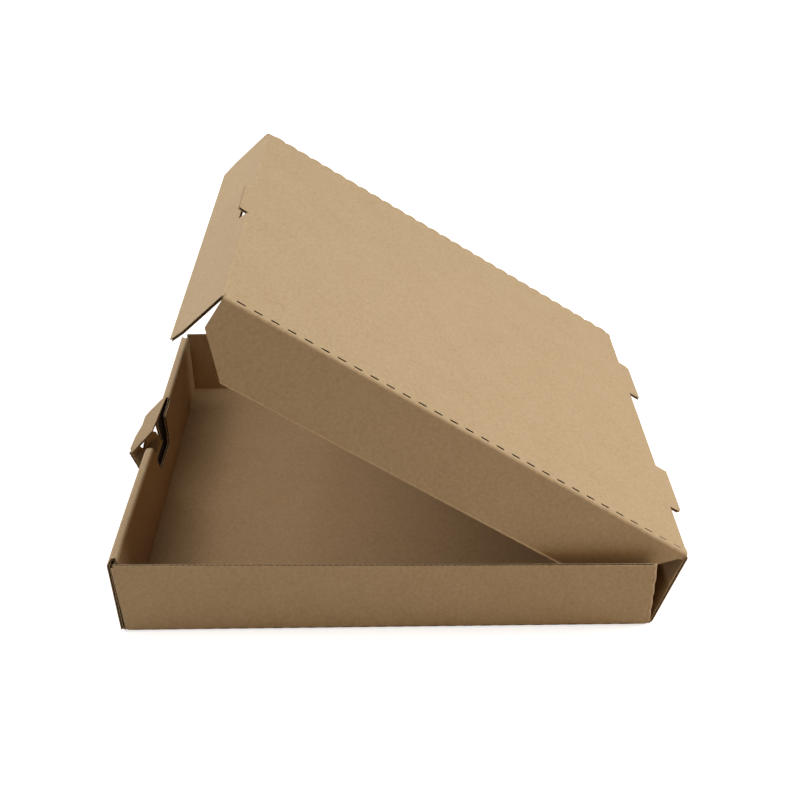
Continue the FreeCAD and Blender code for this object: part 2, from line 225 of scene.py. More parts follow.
# %% Fluting between the liners
SCAN = FLUTE / 8    # distance between the scan lines
SLIVER = 0.02       # how far the scan lines stay off the ends, and the waves sink into the liners
STEADY = 5.0        # scan lines whose ends differ by more than this aren't joined


def fluting(loops, place, parts=1):
    """Waves along the first axis: height = amplitude * sin(2 pi * second axis / pitch).

    Each wave is cut in parts along its length, where the panel has a bend across it.
    """
    loops = [np.array(loop, float) for loop in loops]
    rim = np.concatenate(loops)[:, 1]
    b = np.arange(rim.min() + SLIVER, rim.max() - SLIVER, SCAN)
    spans, crossing = crossings(b[:, None], loops)
    crossing = np.sort(np.where(spans, crossing, np.inf), 1)
    half = MEDIUM / 2
    swing = HALF - LINER - half + SLIVER
    height = swing * np.sin(2 * np.pi * b / FLUTE)
    points, faces, uv, start = [], [], [], 0
    for k in range(0, crossing.shape[1] - 1, 2):
        left, right = crossing[:, k], crossing[:, k + 1]
        valid = np.isfinite(right)
        if not valid.any():
            break
        left, right = np.where(valid, left, 0), np.where(valid, right, 0)
        along = [left + (right - left) * share for share in np.linspace(0, 1, parts + 1)]
        ring = [(a, half) for a in along] + [(a, -half) for a in along[::-1]]
        grid = np.stack([place(a, b, height + lift) for a, lift in ring], 1)
        points.append(grid.reshape(-1, 3))
        uv.append(np.stack([np.stack([a, b], 1) for a, _ in ring], 1).reshape(-1, 2) / 1000)
        size = len(ring)
        steady = np.abs(np.diff(left)) + np.abs(np.diff(right)) < STEADY
        row = np.flatnonzero(valid[:-1] & valid[1:] & steady) * size + start
        for c in range(size):
            d = (c + 1) % size
            faces += np.stack([row + c, row + d, row + size + d, row + size + c], 1).tolist()
        start += len(b) * size
    return np.concatenate(points), faces, np.concatenate(uv), [WAVES] * len(faces)


CORNER_LEAN, CORNER_START, CORNER_RUN = 2.0, -60.0, 215.0       # how far, from where and over what length
CORNER_REAR, CORNER_FADE = -128.0, 24.0                         # the same from front to rear
TWIST, TWIST_START = 1.5 * LID_RUN + 1.3 * LID_OUT, 0.2


def near_corner_lean(points):
    """The front wall's near end leans out more at its top, easing off along and behind the wall."""
    x, y, z = points.T
    along = np.clip((x - CORNER_START) / CORNER_RUN, 0, 1)
    share = along * along * (3 - 2 * along) * np.clip(z / HEIGHT, 0, 1.05)
    share = share * np.clip((CORNER_REAR - y) / CORNER_FADE, 0, 1)
    return points - CORNER_LEAN * share[:, None] * np.array((0.0, 1.0, 0.0))


def lid_twist(depth):
    """The lid's near front corner stands further out and up, which ends at this depth below it."""
    def shape(points):
        spots = points - HINGE
        share = np.clip((points[:, 0] / SIDE_FOLD - TWIST_START) / (1 - TWIST_START), 0, 1.02)
        share = share * np.clip(1 + spots @ LID_OUT / depth, 0, 1)
        share = share * np.clip(spots @ LID_RUN / LID_LENGTH, 0, 1.0)
        return points + share[:, None] * TWIST
    return shape


PIECES = []
SHARP = math.radians(32)


def to_mesh(name, parts, place, shape=None):
    """Join parts into one mesh, turn its faces outwards, and mark its sharp edges."""
    # a spot of the sheet and its neighbours along, across and above tell which side is out
    probe = np.array([[0.0, 0.01, 0.0, 0.0], [50.0, 50.0, 50.01, 50.0], [0.0, 0.0, 0.0, 0.01]])
    origin, along, over, above = place(probe[0], probe[1], probe[2])
    flip = np.dot(np.cross(along - origin, over - origin), above - origin) < 0
    points, faces, uv, slots, start = [], [], [], [], 0
    for part_points, part_faces, part_uv, part_slots in parts:
        points.append(part_points)
        faces += [[v + start for v in (face[::-1] if flip else face)] for face in part_faces]
        uv.append(part_uv)
        slots += part_slots
        start += len(part_points)
    points = np.concatenate(points)
    mesh = bpy.data.meshes.new(name)
    mesh.from_pydata(((shape(points) if shape else points) / 1000).tolist(), [], faces)
    corner = np.zeros(len(mesh.loops), int)
    mesh.loops.foreach_get("vertex_index", corner)
    mesh.uv_layers.new(name="sheet").data.foreach_set("uv", np.concatenate(uv)[corner].ravel())
    mesh.polygons.foreach_set("material_index", slots)
    mesh.shade_smooth()
    mesh.set_sharp_from_angle(angle=SHARP)
    piece = bpy.data.objects.new(name, mesh)
    bpy.context.scene.collection.objects.link(piece)
    PIECES.append(piece)
    return piece


def lattice(low, high, step):
    """Evenly spaced lattice lines strictly between two values."""
    return np.linspace(low, high, max(2, round((high - low) / step)) + 1)[1:-1]


def mirrored(points):
    """The same outline on the other side, so that it goes on where the first one ends."""
    return [(-a, b) for a, b in reversed(points)]


def board(name, loops, place, columns, rows, body, stretch=1.0, shape=None,
          liners=(OUTER, INSIDE_SHADE), parts=1):
    """A panel of board: outer liner, inner liner and the fluting between them."""
    flat, faces = cut(loops, columns, rows, stretch)
    layers = [slab(flat, faces, HALF - LINER, HALF, place, (liners[0], OUTER, EDGE)),
              slab(flat, faces, -HALF, LINER - HALF, place, (OUTER, liners[1], EDGE)),
              fluting(loops, place, parts)]
    piece = to_mesh(name, layers, place, shape or (near_corner_lean if body == "tray" else None))
    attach(piece, body)
    return piece


def flat_place(origin, first, second, out):
    """A flat panel: origin + a * first axis + b * second axis + n * outward normal."""
    return lambda a, b, n: origin + a[:, None] * first + b[:, None] * second + n[:, None] * out


# %% [markdown]
# ## Folds
# A crease in board is a tight roll: the inner liner is crushed into the corner and the
# outer liner goes round it. Side folds are perforated, a little over five millimetres
# cut and a little under five whole, and there the cut stretches swell out and the whole
# ones pinch in. A fold is a strip whose cross-section is an arc about the inner corner.

# %% Fold strips
DASH, DASH_PITCH, DASH_POINT = 5.7, 10.06, 0.7
ROUND_DASH = (-5.03, -4.2, -3.2, -1.2, 1.2, 3.2, 4.2)   # lattice columns about a slit's middle
ARC = 3.0           # nominal length across a fold strip, at the board's outer face
SKIN = 1.0          # thickness of the layer that the slits go through


def unit(v):
    """The vector or vectors at length one."""
    return v / np.linalg.norm(v, axis=-1, keepdims=True)


def fold_place(start, end, into_first, into_second, bulge=None):
    """Arc about the inner corner: centre + (middle radius + n) * direction at the turn b.

    a runs along the fold, b from 0 on the first panel to the arc's end on the second,
    and below 0 the strip runs flat on over the first panel. start and end are the fold's
    ends in the board's middle, and each panel's direction may be one vector or a pair,
    for a fold whose panel leans more at one end. bulge gives, along a, how far the
    middle of the arc swells out.
    """
    start, end = np.array(start, float), np.array(end, float)
    length = np.linalg.norm(end - start)
    first = np.array(into_first, float).reshape(-1, 3)
    second = np.array(into_second, float).reshape(-1, 3)

    def place(a, b, n):
        share = (a / length)[:, None]
        e0 = unit(first[0] + share * (first[-1] - first[0]))
        e1 = unit(second[0] + share * (second[-1] - second[0]))
        inner = np.arccos(np.clip((e0 * e1).sum(1), -1, 1))[:, None]
        centre = start + share * (end - start) + unit(e0 + e1) * MIDDLE / np.sin(inner / 2)
        n0 = -unit(e1 - (e0 * e1).sum(1)[:, None] * e0)
        sweep = math.pi - inner
        turn = np.clip(b[:, None] / ARC, 0, 1) * sweep
        side = unit(-e0)
        reach = MIDDLE + n[:, None]
        if bulge is not None:
            reach = reach + bulge(a)[:, None] * np.sin(np.pi * turn / sweep)
        flat_part = np.maximum(-b, 0)[:, None] * e0
        return centre + flat_part + reach * (np.cos(turn) * n0 + np.sin(turn) * side)

    return place


def dashes(length, first, low, high, count=None):
    """Slits along a fold: pointed slots between two places across, thinner near its start."""
    centres = first + DASH_PITCH * np.arange(count or int((length - first - DASH / 2) // DASH_PITCH) + 1)
    middle, tip = (low + high) / 2, DASH / 2
    widths = (high - low) / 2 * np.clip(0.35 + 0.12 * np.arange(len(centres)), 0, 1)
    loops = [[(c - tip, middle), (c - tip + DASH_POINT, middle - w), (c + tip - DASH_POINT, middle - w),
              (c + tip, middle), (c + tip - DASH_POINT, middle + w), (c - tip + DASH_POINT, middle + w)]
             for c, w in zip(centres, widths)]
    return centres, loops


def fold(name, start, end, into_first, into_second, slits=None, swell=0.0, step=GRID, lap=0.0,
         shape=None):
    """A fold strip: an outer layer that may be slit, and an unbroken inner liner."""
    length = np.linalg.norm(np.subtract(end, start))
    whole_columns = lattice(0, length, step)
    holes, bulge, columns = [], None, whole_columns
    if slits:
        centres, holes = dashes(length, **slits)
        columns = np.unique(np.add.outer(centres, ROUND_DASH).round(3))
        columns = columns[(columns > 0.3) & (columns < length - 0.3)]

        def bulge(a):
            """The whole stretches pinch in and the cut stretches swell, once every pitch."""
            near = np.abs(a[:, None] - centres[None]).min(1)
            return swell * np.cos(np.pi * np.minimum(near / DASH_PITCH, 0.5)) ** 0.7

    place = fold_place(start, end, into_first, into_second, bulge)
    outline = [(0, -lap), (length, -lap), (length, ARC), (0, ARC)]
    rows = np.linspace(0, ARC, 9)[(0 if lap else 1):-1]
    flat, faces = cut([outline] + holes, columns, rows, 4.0)
    whole_flat, whole_faces = cut([outline], whole_columns, rows, 8.0)

    def rim_slot(middle):
        """Painted shade for a slit's own rim, and the cut edge's paper for the strip's."""
        low, high = np.array(outline[0]) + 0.01, np.array(outline[2]) - 0.01
        return np.where((middle > low).all(1) & (middle < high).all(1), PAINTED_SHADE, EDGE)

    # a slit's walls and the inner liner's upper face, seen through the slits, are painted shade
    parts = [slab(flat, faces, HALF - SKIN, HALF, place, (OUTER, OUTER, rim_slot)),
             slab(whole_flat, whole_faces, -HALF, LINER - HALF, place, (PAINTED_SHADE, INSIDE_SHADE, EDGE))]
    return to_mesh(name, parts, place, shape)


def tangent(into_first, into_second):
    """How far a fold's arc starts from the corner of the two middle planes."""
    inner = math.acos(float(np.dot(unit(np.array(into_first, float)), unit(np.array(into_second, float)))))
    return MIDDLE / math.tan(inner / 2)


# %% [markdown]
# ## Tray: base and rolled front wall
# Base, outer front panel, top strip and inner panel are one strip of the sheet. Its
# cross-section is a path of straight runs and small arcs, so the whole strip is one
# sheet whose second coordinate is the distance along that path. The lock's opening is
# then one hole that goes over the top, as the die cut it.

# %% A path of runs and arcs


def rolled_path(corners, radius):
    """Starts, headings, curvatures and lengths of runs joined by arcs, as arrays."""
    corners = np.array(corners, float)
    steps = np.diff(corners, axis=0)
    heading = np.unwrap(np.arctan2(steps[:, 1], steps[:, 0]))
    turns = np.diff(heading)
    trim = radius * np.tan(np.abs(turns) / 2)
    runs = np.linalg.norm(steps, axis=1) - np.append(trim, 0) - np.append(0, trim)
    starts, angles, bends, lengths = [], [], [], []
    for k, run in enumerate(runs):
        back = trim[k - 1] if k else 0
        direction = np.array((math.cos(heading[k]), math.sin(heading[k])))
        starts.append(corners[k] + back * direction)
        angles.append(heading[k]), bends.append(0.0), lengths.append(run)
        if k < len(turns):
            starts.append(starts[-1] + run * direction)
            angles.append(heading[k]), bends.append(math.copysign(1 / radius, turns[k]))
            lengths.append(radius * abs(turns[k]))
    return np.array(starts), np.array(angles), np.array(bends), np.array(lengths), trim


def path_place(path):
    """Second axis along the path in the YZ plane, first axis along X, n to its left."""
    starts, angles, bends, lengths, _ = path
    marks = np.cumsum(lengths)

    def place(a, b, n):
        k = np.clip(np.searchsorted(marks, b), 0, len(marks) - 1)
        s = b - (marks[k] - lengths[k])
        angle = angles[k] + bends[k] * s
        middle = (angle + angles[k]) / 2
        straight = bends[k] == 0
        chord = np.where(straight, s, 2 * np.sin(bends[k] * s / 2) / np.where(straight, 1, bends[k]))
        y = starts[k, 0] + chord * np.cos(middle) - n * np.sin(angle)
        z = starts[k, 1] + chord * np.sin(middle) + n * np.cos(angle)
        return np.stack([a, y, z], 1)

    return place, marks


LEAN = math.radians(FRONT_LEAN)


def wall_point(y, z):
    """A point of the front wall's own cross-section, leaned and put at the front."""
    return -DEPTH / 2 + y * math.cos(LEAN) - z * math.sin(LEAN), y * math.sin(LEAN) + z * math.cos(LEAN)


inner_wall = ROLL_WIDTH - HALF
base_rear = REAR_FOOT[1] - tangent((0, -1, 0), REAR_UP)
foot = wall_point(HALF, (HALF - HALF * math.sin(LEAN)) / math.cos(LEAN))
tray_path = rolled_path([(base_rear, HALF), foot, wall_point(HALF, HEIGHT - HALF),
                         wall_point(inner_wall, HEIGHT - HALF), wall_point(inner_wall, HALF + 0.1)], MIDDLE)
tray_place, tray_marks = path_place(tray_path)
trims = tray_path[4]


def outer_at(height):
    """Distance along the path of a height on the outer panel, from the top edge."""
    return tray_marks[2] + trims[1] + height + HALF


def inner_at(height):
    """Distance along the path of a height on the inner panel, from the top edge."""
    return tray_marks[5] - trims[2] - height - HALF


def base_half(lean):
    """Half the flat base's width where the side wall leans by this angle."""
    lean = math.radians(lean)
    return WIDTH / 2 - HALF - MIDDLE * (1 - math.sin(lean)) / math.cos(lean)


roll_half = WIDTH / 2 - ROLL_INSET
tray_side = [(base_half(SIDE_LEAN_REAR), 0.0), (base_half(SIDE_LEAN_FRONT), tray_marks[0] - 0.5),
             (base_half(SIDE_LEAN_FRONT), tray_marks[0] + 0.8), (WIDTH / 2, tray_marks[0] + 1.2),
             (WIDTH / 2, tray_marks[2] + 0.6), (WIDTH / 2 - 5.0, tray_marks[3] + 0.1),
             (WIDTH / 2 - 5.6, tray_marks[4] + 0.2), (roll_half, tray_marks[5] - 0.4),
             (roll_half, tray_marks[-1])]
tray_outline = tray_side + mirrored(tray_side)
lock_hole = [(LOCK + a, b) for a, b in [
    (25.9, inner_at(-0.5)), (17.0, inner_at(-19.0)), (13.4, inner_at(-23.7)), (-23.7, inner_at(-24.0)),
    (-26.5, inner_at(-18.0)), (-24.6, inner_at(-3.4)), (-28.0, inner_at(-2.4)), (-46.4, inner_at(-1.8)),
    (-47.0, (inner_at(0) + outer_at(0)) / 2), (-42.0, outer_at(-0.3)), (-12.6, outer_at(-1.7)),
    (-14.0, outer_at(-6.2)), (-18.4, outer_at(-17.6)), (-22.0, outer_at(-20.4)), (36.9, outer_at(-18.5)),
    (31.0, outer_at(-1.7)), (25.9, outer_at(-0.5))]]
arcs = [np.linspace(tray_marks[k] - tray_path[3][k], tray_marks[k], 8) for k in (1, 3, 5)]
tray_rows = np.concatenate([lattice(0, tray_marks[0], GRID), *arcs, lattice(tray_marks[1], tray_marks[2], 8),
                            lattice(tray_marks[5], tray_marks[6], 8)])
tray_board = board("tray_board", [tray_outline, lock_hole], tray_place,
                   lattice(-WIDTH / 2, WIDTH / 2, GRID), np.unique(tray_rows.round(4)), "tray", stretch=40.0,
                   # the inner panel's face towards the box takes the darker inner paper as painted shade, and
                   # the faces inside the rolled wall are painted shade
                   liners=(lambda spots: np.where(spots[:, 1] > tray_marks[5], INSIDE_SHADE, OUTER),
                           lambda spots: np.where(spots[:, 1] > tray_marks[1], PAINTED_SHADE, INSIDE_SHADE)), parts=10)
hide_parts("tray")

# %% [markdown]
# ## Tray: side walls and ears
# Each side wall leans out a little at the front and more at the rear, where nothing
# holds it. A wall that twists like this is a ruled surface: straight up at every
# place, with the lean changing along its length.

# %% Side walls, their folds and the ears
FRONT_EAR, REAR_EAR, REAR_EAR_TOP = 55.0, 40.0, 29.0    # the ears' lengths, and the rear one's height
EAR_DROP = 3.0                                          # from the wall's top to the ears' at the fold


def tray_side_pieces(side, sign):
    """Wall, bottom fold, front and rear ears of one side. sign is 1 for the right, -1 for the left."""
    x_axis = np.array((float(sign), 0.0, 0.0))
    foot_x = WIDTH / 2 - HALF
    front_y = -DEPTH / 2 + BOARD + EAR_GAP + HALF
    rear_y = DEPTH / 2 - 1.5 * BOARD - EAR_GAP
    lean_front, lean_rear = math.radians(SIDE_LEAN_FRONT), math.radians(SIDE_LEAN_REAR)
    up_front = np.array((sign * math.sin(lean_front), -math.sin(LEAN), math.cos(lean_front)))
    up_rear = np.array((sign * math.sin(lean_rear), 0.0, math.cos(lean_rear)))
    corner_front = np.array((sign * foot_x, front_y, HALF))
    corner_rear = np.array((sign * foot_x, rear_y, HALF))

    def wall_place(a, b, n):
        """Rise a along the leaning line at the distance b from the front corner."""
        share = ((b - front_y) / (rear_y - front_y))[:, None]
        up = unit(up_front * (1 - share) + up_rear * share)
        out = unit(np.stack([sign * up[:, 2], 0 * b, -sign * up[:, 0]], 1))
        spot = np.stack([np.full_like(b, sign * foot_x), b, np.full_like(b, HALF)], 1)
        bow = 0.35 * np.sin(np.pi * share[:, 0]) * (a / HEIGHT) ** 2
        return spot + a[:, None] * up + (n + bow)[:, None] * out

    low, top = MIDDLE, HEIGHT - HALF
    outline = [(low, front_y + MIDDLE), (top, front_y + MIDDLE),
               (top, rear_y - MIDDLE), (low, rear_y - MIDDLE)]
    board(f"side_wall_{side}", [outline], wall_place, lattice(low, top, GRID),
          lattice(front_y, rear_y, 10), "tray")

    slits = dict(first=6.0, low=1.9, high=2.6)
    bottom = fold(f"side_foot_{side}", corner_front + (0, MIDDLE, 0), corner_rear - (0, MIDDLE, 0), -x_axis,
                  [up_front * (1, 0, 1), up_rear], slits=slits, swell=0.08, shape=near_corner_lean)
    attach(bottom, "tray")

    ear_top = top - EAR_DROP
    front_fold = fold(f"front_ear_fold_{side}", corner_front + low * up_front,
                      corner_front + ear_top * up_front, (0, 1, 0), -x_axis, step=6,
                      shape=near_corner_lean)
    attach(front_fold, "tray")
    ear = [(MIDDLE, low), (MIDDLE, ear_top), (40.0, ear_top), (FRONT_EAR, top - 14), (FRONT_EAR, low)]
    ear_up = np.array((0.0, -math.sin(LEAN), math.cos(LEAN)))
    ear_out = np.array((0.0, -math.cos(LEAN), -math.sin(LEAN)))
    board(f"front_ear_{side}", [ear], flat_place(corner_front, -x_axis, ear_up, ear_out),
          lattice(0, FRONT_EAR, GRID), lattice(0, top, GRID), "tray")

    rear_fold = fold(f"rear_ear_fold_{side}", corner_rear + low * up_rear, corner_rear + top * up_rear,
                     (0, -1, 0), -x_axis, slits=dict(first=4.5, low=2.3, high=2.9), swell=0.7)
    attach(rear_fold, "tray")
    slope = math.tan(lean_rear)
    ear = [(MIDDLE, low), (MIDDLE - ear_top * slope, ear_top), (9.0 - REAR_EAR_TOP * slope, REAR_EAR_TOP),
           (REAR_EAR, REAR_EAR_TOP), (REAR_EAR, 4.7), (6.0, low)]
    board(f"rear_ear_{side}", [ear], flat_place(corner_rear, -x_axis, UPWARD, np.array((0.0, 1.0, 0.0))),
          lattice(0, REAR_EAR, GRID), lattice(0, top, GRID), "tray")


tray_side_pieces("right", 1)
tray_side_pieces("left", -1)

# %% [markdown]
# ## Rear wall
# The rear wall leans back with the open lid. Its two notches are the holes that the
# lid's hinge tabs left when they were cut from it.

# %% Rear wall and its foot fold
TAB_MIDDLE, TAB_HALF, TAB_REACH = 75.6, 24.5, 8.0
TAB_NEAR, TAB_FAR = TAB_MIDDLE - TAB_HALF, TAB_MIDDLE + TAB_HALF
rear_low = tangent((0, -1, 0), REAR_UP)
rear_high = REAR_HEIGHT - tangent(-REAR_UP, LID_RUN)
notch = REAR_HEIGHT - TAB_REACH - PLAY
rear_side = [(REAR_HALF, rear_low), (REAR_HALF, rear_high), (TAB_FAR + PLAY, rear_high),
             (TAB_FAR + PLAY, notch), (TAB_NEAR - PLAY, notch), (TAB_NEAR - PLAY, rear_high)]
rear_outline = rear_side + mirrored(rear_side)
rear_board = board("rear_board", [rear_outline], flat_place(REAR_FOOT, ACROSS, REAR_UP, REAR_OUT),
                   lattice(-REAR_HALF, REAR_HALF, GRID), lattice(rear_low, rear_high, 10), "rear_wall")
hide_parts("rear_wall")


def crossing_fold(name, start, end, into_first, into_second, bodies, **options):
    """A fold strip where two bodies meet, baked where it lies and attached to neither."""
    piece = fold(name, start, end, into_first, into_second, **options)
    middle = np.array(start, float)
    first, second = unit(np.array(into_first, float)), unit(np.array(into_second, float))
    reach = tangent(first, second) / 1000
    Vector(middle / 1000 + first * reach)
    Vector(middle / 1000 + second * reach)
    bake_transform(piece)
    return piece


crossing_fold("rear_foot", REAR_FOOT - REAR_HALF * ACROSS, REAR_FOOT + REAR_HALF * ACROSS,
              (0, -1, 0), REAR_UP, ("tray", "rear_wall"))

# %% [markdown]
# ## Lid
# The lid's top is nearly square. The hinge tabs stick out past the rear fold in the
# lid's own plane, and the lock tab does the same over the front flap.

# %% Lid, front flap and side flaps
lid_half = LID_WIDTH / 2 - BOARD - BEND
lid_low = tangent(-REAR_UP, LID_RUN)
lid_high = LID_LENGTH - tangent(-LID_RUN, FLAP_RUN)
TAB_CORNER = 2.5                                        # chamfer of a hinge tab
TAB_ROOT, TAB_TIP, TAB_DEPTH = 27.0, 21.5, 5.8          # lock tab, from its middle to its far side
NEAR_ROOT, NEAR_TIP = 21.0, 19.5                        # the same to its near side
WINDOW_ROOT, WINDOW_TIP = LOCK + 21.8, LOCK + 20.2      # near side of its window
FLAP_DEPTH, SIDE_DEPTH, SIDE_EDGE = 41.3, 42.3, 41.5    # the side flaps' pressed edge starts at SIDE_EDGE
HEEL, TOE, LAP = 1.3, LID_LENGTH - HALF - PLAY, 4.4     # a side fold's strip laps over the lid
FOLD_HEEL, FOLD_TOE = HEEL - 1.5, TOE + 1.0
lid_right = [(TAB_NEAR, lid_low), (TAB_NEAR, -TAB_REACH), (TAB_FAR - TAB_CORNER, -TAB_REACH),
             (TAB_FAR, -TAB_REACH + TAB_CORNER), (TAB_FAR, lid_low), (lid_half - LAP, lid_low),
             (lid_half - LAP, FOLD_TOE), (lid_half, FOLD_TOE), (lid_half, lid_high)]
lock_tab = [(LOCK + NEAR_ROOT, lid_high), (LOCK + NEAR_TIP, LID_LENGTH + TAB_DEPTH),
            (LOCK - TAB_TIP, LID_LENGTH + TAB_DEPTH), (LOCK - TAB_ROOT, lid_high)]
lid_outline = lid_right + lock_tab + mirrored(lid_right)
lid_place = flat_place(HINGE, ACROSS, LID_RUN, LID_OUT)
lid_board = board("lid_board", [lid_outline], lid_place, lattice(-lid_half, lid_half, GRID),
                  lattice(lid_low, lid_high, GRID), "lid", shape=lid_twist(60), parts=10)
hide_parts("lid")

for name, low, high in (("left", -lid_half, -TAB_FAR), ("middle", -TAB_NEAR, TAB_NEAR),
                        ("right", TAB_FAR, lid_half)):
    crossing_fold(f"lid_hinge_{name}", HINGE + low * ACROSS, HINGE + high * ACROSS, -REAR_UP, LID_RUN,
                  ("rear_wall", "lid"))

flap_low = tangent(-LID_RUN, FLAP_RUN)
flap_side = [(lid_half, flap_low), (lid_half - 3.9, 31.0), (lid_half - 9.6, FLAP_DEPTH)]
window = [(LOCK - TAB_ROOT - PLAY, flap_low), (LOCK - TAB_TIP - PLAY, TAB_DEPTH + PLAY),
          (WINDOW_TIP, TAB_DEPTH + PLAY), (WINDOW_ROOT, flap_low)]
flap_outline = flap_side + mirrored(flap_side) + window
front_board = board("front_flap_board", [flap_outline], flat_place(LID_FRONT, ACROSS, FLAP_RUN, FLAP_OUT),
                    lattice(-lid_half, lid_half, GRID), lattice(flap_low, FLAP_DEPTH, 10), "front_flap",
                    shape=lid_twist(40), parts=10)
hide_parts("front_flap")
for name, low, high in (("left", -lid_half, LOCK - TAB_ROOT - PLAY), ("right", WINDOW_ROOT, lid_half)):
    crossing_fold(f"front_fold_{name}", LID_FRONT + low * ACROSS, LID_FRONT + high * ACROSS,
                  -LID_RUN, FLAP_RUN, ("lid", "front_flap"), shape=lid_twist(40))


def side_flap(side, sign):
    """One side flap, its flutes running down, and its perforated fold."""
    outward = np.array((float(sign), 0.0, 0.0))
    corner = HINGE + SIDE_FOLD * outward
    if sign > 0:
        slits, swell, toe = dict(first=7.1, low=-2.4, high=-0.7, count=29), 0.05, TOE + 2.6
    else:
        slits, swell, toe = dict(first=7.8, low=1.4, high=2.2, count=29), 1.1, TOE - 0.3
    outline = [(MIDDLE, FOLD_HEEL), (MIDDLE, min(toe, FOLD_TOE)), (18.5, toe), (SIDE_DEPTH, TOE - 19.5),
               (SIDE_DEPTH, 36.0), (15.0, 12.0), (4.4, HEEL + 1.6), (2.7, HEEL - 3.6)]

    def burr(points):
        """The cut presses the outer liner's lower edge outwards by less than a millimetre."""
        depth, face = (corner - points) @ LID_OUT, (points - corner) @ outward > HALF - 0.1
        share = face * np.clip((depth - SIDE_EDGE) / (SIDE_DEPTH - SIDE_EDGE), 0, 1)
        return lid_twist(18)(points) + 0.6 * share[:, None] * outward

    flap = board(f"side_flap_{side}_board", [outline], flat_place(corner, -LID_OUT, LID_RUN, outward),
                 np.append(lattice(MIDDLE, SIDE_EDGE, 6), SIDE_EDGE), lattice(HEEL, TOE, GRID),
                 f"side_flap_{side}", shape=burr)
    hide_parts(f"side_flap_{side}")
    crossing_fold(f"side_fold_{side}", corner + FOLD_HEEL * LID_RUN, corner + FOLD_TOE * LID_RUN,
                  -outward, -LID_OUT, ("lid", f"side_flap_{side}"), slits=slits, swell=swell, lap=LAP,
                  shape=lid_twist(18))


side_flap("right", 1)
side_flap("left", -1)

# %% [markdown]
# ## Lock tongue
# The tongue was pushed out of the front wall and has creased: a leaf lies level with
# the wall's top, and an apron hangs from its crease back to the wall. Each is a sheet
# whose corners are known, filled in by triangles that share one corner.

# %% Leaf and apron
LEAF = [(3.9, 0.7, 0.8), (30.9, -8.5, 0.0), (24.9, -10.4, 0.0), (8.3, -9.6, 0.0), (-7.1, -7.6, 0.0),
        (-19.1, -7.6, 0.0), (-26.1, -5.8, 0.0), (-44.1, 0.1, 0.05), (-47.1, 2.9, 0.2)]
APRON = [(-22.5, 1.7, -21.0), (36.9, 1.7, -19.5), (30.9, -8.5, 0.0), (3.9, 0.7, 0.8), (-8.1, 0.7, -6.1)]


def fan(corners, flat_axes, height_axis):
    """Height over the flat axes: weighted by the corner areas of the fan's triangles."""
    corners = np.array(corners, float)
    flat, height = corners[:, flat_axes], corners[:, height_axis]

    def value(points):
        best, result = np.full(len(points), -np.inf), np.zeros(len(points))
        for k in range(1, len(corners) - 1):
            p, q, r = flat[0], flat[k], flat[k + 1]
            area = cross(q - p, r - p)
            wq, wr = cross(points - p, r - p) / area, cross(q - p, points - p) / area
            wp = 1 - wq - wr
            least = np.minimum(np.minimum(wp, wq), wr)
            here = height[0] * wp + height[k] * wq + height[k + 1] * wr
            result = np.where(least > best, here, result)
            best = np.maximum(best, least)
        return result

    return value


def from_wall(x, v, z):
    """From the front wall's own places to the world: across, inwards, and up from its top."""
    y = -DEPTH / 2 + v * math.cos(LEAN) - (HEIGHT + z) * math.sin(LEAN)
    return np.stack([LOCK + x, y, v * math.sin(LEAN) + (HEIGHT + z) * math.cos(LEAN)], 1)


leaf_height = fan(LEAF, [0, 1], 2)
apron_reach = fan(APRON, [0, 2], 1)


def leaf_place(a, b, n):
    """A spot of the leaf: across, inwards, and up from its upper face."""
    return from_wall(a, b, leaf_height(np.stack([a, b], 1)) + n - HALF)


def apron_place(a, b, n):
    """A spot of the apron: across, upwards, and out from its inner face."""
    return from_wall(a, apron_reach(np.stack([a, b], 1)) - n - HALF, b)


leaf = board("tongue_leaf", [[(x, v) for x, v, _ in LEAF]], leaf_place, lattice(-47, 31, 5),
             lattice(-10, 3, 3), "tray", shape=np.copy)
# its torn edge is seen end on, and its fluting is painted shade: the dark between the waves is all that shows
leaf_slots = np.zeros(len(leaf.data.polygons), int)
leaf.data.polygons.foreach_get("material_index", leaf_slots)
leaf.data.polygons.foreach_set("material_index", np.where(leaf_slots == WAVES, PAINTED_SHADE, leaf_slots).tolist())
slit = [(19.6, -0.9), (17.0, -0.8), (9.0, -1.2), (8.3, -4.0), (9.6, -9.0), (16.6, -3.9)]
board("tongue_apron", [[(x, z) for x, _, z in APRON] + [(-15.4, -16.6)], slit], apron_place,
      lattice(-22, 37, 5), lattice(-21, 1, 4), "tray", shape=np.copy)

# %% [markdown]
# ## Paper
# Kraft paper is not one brown. Long fibres, shives and the cloudiness of the pulp give
# it a fine mottle, and the flutes telegraph through the liner as faint lines. The shader
# adds noises at those scales and reads the sheet's own coordinates for the flute lines.

# %% Shader arithmetic


class Field:
    """A shader socket that takes Python arithmetic."""

    def __init__(self, graph, socket):
        self.graph, self.socket = graph, socket

    def _math(self, operation, first, second):
        return self.graph.node("Math", {"operation": operation}, {0: first, 1: second})

    def __add__(self, other):
        return self._math("ADD", self, other)

    def __sub__(self, other):
        return self._math("SUBTRACT", self, other)

    def __mul__(self, other):
        return self._math("MULTIPLY", self, other)


class Graph:
    """The node tree of a material or of the world, empty at the start."""

    def __init__(self, owner):
        owner.use_nodes = True
        self.owner, self.tree = owner, owner.node_tree
        self.tree.nodes.clear()

    def node(self, kind, settings=None, inputs=None, output=0):
        """One node: its settings first, then the values or links of its sockets."""
        item = self.tree.nodes.new("ShaderNode" + kind)
        for key, value in (settings or {}).items():
            setattr(item, key, value)
        for key, value in (inputs or {}).items():
            if isinstance(value, Field):
                self.tree.links.new(value.socket, item.inputs[key])
            else:
                item.inputs[key].default_value = value
        return Field(self, item.outputs[output]) if len(item.outputs) else None


def linear(colour):
    """A screen colour, 0 to 255, as a linear colour with full alpha."""
    return tuple(v / 255 / 12.92 if v < 10.3 else ((v / 255 + 0.055) / 1.055) ** 2.4 for v in colour) + (1.0,)


